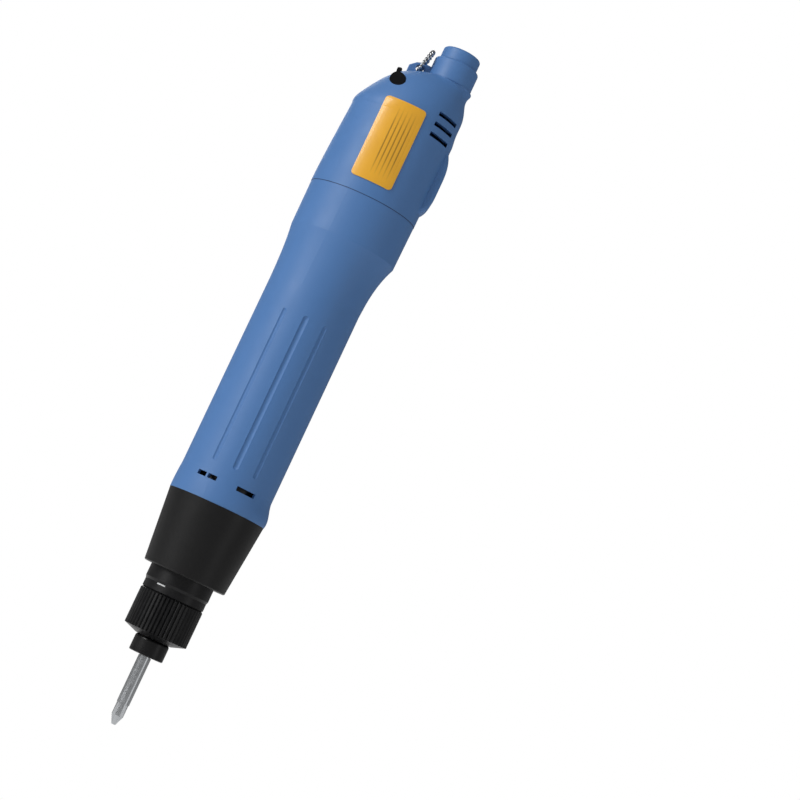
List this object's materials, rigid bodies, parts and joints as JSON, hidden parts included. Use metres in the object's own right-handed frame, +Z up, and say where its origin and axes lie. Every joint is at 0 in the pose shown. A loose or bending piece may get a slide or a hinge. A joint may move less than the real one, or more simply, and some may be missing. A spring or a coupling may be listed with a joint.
{
  "type": "electric torque screwdriver",
  "caption": "Handheld electric torque screwdriver: straight blue grip and head, black tapered nose with a fluted torque nut and a Phillips bit, rocker switch, cable socket and hang ring.",
  "frame": {"origin": "centre of the bit's shaft where it leaves the bit collar", "axes": "+Z up the spindle axis to the head and cable socket, -Y toward the label side, +X toward the side of the head that carries the cable socket"},
  "size_m": [0.0457, 0.0416, 0.2877],
  "materials": {
    "bit_steel": "polished, plated tool steel",
    "bearing_steel": "ground and polished",
    "machined_steel": "turned",
    "spring_steel": "bright drawn wire",
    "black_collar": "satin black oxide",
    "bronze": "sintered, oiled",
    "black_plastic": "satin moulded",
    "black_metal": "satin black anodised",
    "gear_steel": "hobbed, lightly oiled",
    "motor_zinc": "zinc plated",
    "ferrite": "fired, matte",
    "switch_plastic": "moulded",
    "carbon": "pressed graphite",
    "lamination": "varnished stack",
    "copper": "enamelled",
    "brass": "stamped, bright",
    "blue_plastic": "fine satin texture",
    "label_yellow": "printed film",
    "board_green": "solder resist",
    "component_black": "moulded packages"
  },
  "bodies": {
    "housing": {"board_parts": "component_black", "clutch_balls": "bearing_steel", "clutch_housing": "black_metal", "clutch_spring": "spring_steel", "connector_collar": "blue_plastic", "connector_contacts": "brass", "connector_insert": "switch_plastic", "controller_board": "board_green", "direction_switch": "switch_plastic", "grip": "blue_plastic", "head_back": "blue_plastic", "head_front": "blue_plastic", "head_screws": "machined_steel", "input_ring_gear": "gear_steel", "label_plate": "label_yellow", "motor_brushes": "carbon", "motor_can": "motor_zinc", "motor_end_bell": "switch_plastic", "motor_front_bearing": "bearing_steel", "motor_magnets": "ferrite", "motor_plate": "machined_steel", "motor_rear_bearing": "bronze", "motor_screws": "machined_steel", "nose_housing": "black_plastic", "output_bearing_outer": "bearing_steel", "output_ring_gear": "gear_steel", "pressure_plate": "machined_steel", "spindle_bush": "bronze", "start_spring": "spring_steel", "start_switch": "switch_plastic", "switch_bracket": "switch_plastic"},
    "torque_washer": {"spring_seat": "machined_steel"},
    "torque_nut": {"torque_nut": "black_plastic"},
    "push_rod": {"start_rod": "machined_steel", "rod_cap": "switch_plastic"},
    "spindle": {"spindle": "machined_steel", "spindle_clip": "spring_steel", "collar_clip": "spring_steel", "detent_balls": "bearing_steel", "collar_spring": "spring_steel", "bit": "bit_steel"},
    "bit_collar": {"bit_collar": "black_collar"},
    "output": {"output_carrier": "machined_steel", "output_bearing_inner": "bearing_steel"},
    "input": {"input_carrier": "machined_steel"},
    "rotor": {"rotor_shaft": "machined_steel", "rotor_pinion": "gear_steel", "rotor_core": "lamination", "rotor_windings": "copper", "rotor_commutator": "copper"},
    "plunger": {"start_plunger": "switch_plastic"},
    "rocker": {"direction_rocker": "black_plastic"},
    "ring": {"hang_ring": "spring_steel"},
    "output_planet_1": {"output_planet_1": "gear_steel"},
    "input_planet_1": {"input_planet_1": "gear_steel"},
    "output_planet_2": {"output_planet_2": "gear_steel"},
    "input_planet_2": {"input_planet_2": "gear_steel"},
    "output_planet_3": {"output_planet_3": "gear_steel"},
    "input_planet_3": {"input_planet_3": "gear_steel"}
  },
  "joints": [
    {"name": "output_spin", "type": "hinge", "parent": "housing", "child": "output", "pos_m": [0, 0, 0.0557], "axis": [0, 0, 1], "continuous": true},
    {"name": "spindle_push", "type": "slide", "parent": "housing", "child": "push_rod", "axis": [0, 0, 1], "range_m": [0, 0.002], "stiffness_N_per_m": 2000, "springref_m": -0.003, "deforming": ["start_spring"]},
    {"name": "spindle_spin", "type": "hinge", "parent": "push_rod", "child": "spindle", "pos_m": [0, 0, 0.025], "axis": [0, 0, 1], "continuous": true},
    {"name": "collar_slide", "type": "slide", "parent": "spindle", "child": "bit_collar", "axis": [0, 0, 1], "range_m": [-0.0015, 0], "stiffness_N_per_m": 1500, "springref_m": 0.002, "deforming": ["collar_spring"]},
    {"name": "plunger_slide", "type": "slide", "parent": "housing", "child": "plunger", "axis": [0, 0, 1], "range_m": [0, 0.002]},
    {"name": "input_spin", "type": "hinge", "parent": "housing", "child": "input", "pos_m": [0, 0, 0.065], "axis": [0, 0, 1], "continuous": true},
    {"name": "rotor_spin", "type": "hinge", "parent": "housing", "child": "rotor", "pos_m": [0, 0, 0.101], "axis": [0, 0, 1], "continuous": true},
    {"name": "torque_nut_turn", "type": "hinge", "parent": "torque_washer", "child": "torque_nut", "pos_m": [0, 0, 0.015], "axis": [0, 0, 1], "range_deg": [-1080, 0]},
    {"name": "torque_travel", "type": "slide", "parent": "housing", "child": "torque_washer", "axis": [0, 0, 1], "range_m": [-0.0045, 0], "deforming": ["clutch_spring"]},
    {"name": "direction_tilt", "type": "hinge", "parent": "housing", "child": "rocker", "pos_m": [-0.0068, 0, 0.2373], "axis": [0, 1, 0], "range_deg": [-30, 0]},
    {"name": "hang_ring_swing", "type": "hinge", "parent": "housing", "child": "ring", "pos_m": [-0.0008, 0, 0.247], "axis": [0, 1, 0], "range_deg": [-85, 0]},
    {"name": "output_planet_1_spin", "type": "hinge", "parent": "output", "child": "output_planet_1", "pos_m": [0.00743, 0, 0.0601], "axis": [0, 0, 1], "continuous": true},
    {"name": "input_planet_1_spin", "type": "hinge", "parent": "input", "child": "input_planet_1", "pos_m": [0.00743, 0, 0.0689], "axis": [0, 0, 1], "continuous": true},
    {"name": "output_planet_2_spin", "type": "hinge", "parent": "output", "child": "output_planet_2", "pos_m": [-0.00371, 0.00643, 0.0601], "axis": [0, 0, 1], "continuous": true},
    {"name": "input_planet_2_spin", "type": "hinge", "parent": "input", "child": "input_planet_2", "pos_m": [-0.00371, 0.00643, 0.0689], "axis": [0, 0, 1], "continuous": true},
    {"name": "output_planet_3_spin", "type": "hinge", "parent": "output", "child": "output_planet_3", "pos_m": [-0.00371, -0.00643, 0.0601], "axis": [0, 0, 1], "continuous": true},
    {"name": "input_planet_3_spin", "type": "hinge", "parent": "input", "child": "input_planet_3", "pos_m": [-0.00371, -0.00643, 0.0689], "axis": [0, 0, 1], "continuous": true}
  ],
  "couplings": [
    {"joint": "spindle_spin", "follows": "output_spin", "ratio": 1},
    {"joint": "input_spin", "follows": "output_spin", "ratio": 4.5},
    {"joint": "rotor_spin", "follows": "output_spin", "ratio": 20.25},
    {"joint": "plunger_slide", "follows": "spindle_push", "ratio": 1},
    {"joint": "torque_nut_turn", "follows": "torque_travel", "rad_per_m": 4188.8},
    {"joint": "output_planet_1_spin", "follows": "output_spin", "ratio": -2.8},
    {"joint": "input_planet_1_spin", "follows": "output_spin", "ratio": -12.6},
    {"joint": "output_planet_2_spin", "follows": "output_spin", "ratio": -2.8},
    {"joint": "input_planet_2_spin", "follows": "output_spin", "ratio": -12.6},
    {"joint": "output_planet_3_spin", "follows": "output_spin", "ratio": -2.8},
    {"joint": "input_planet_3_spin", "follows": "output_spin", "ratio": -12.6}
  ]
}
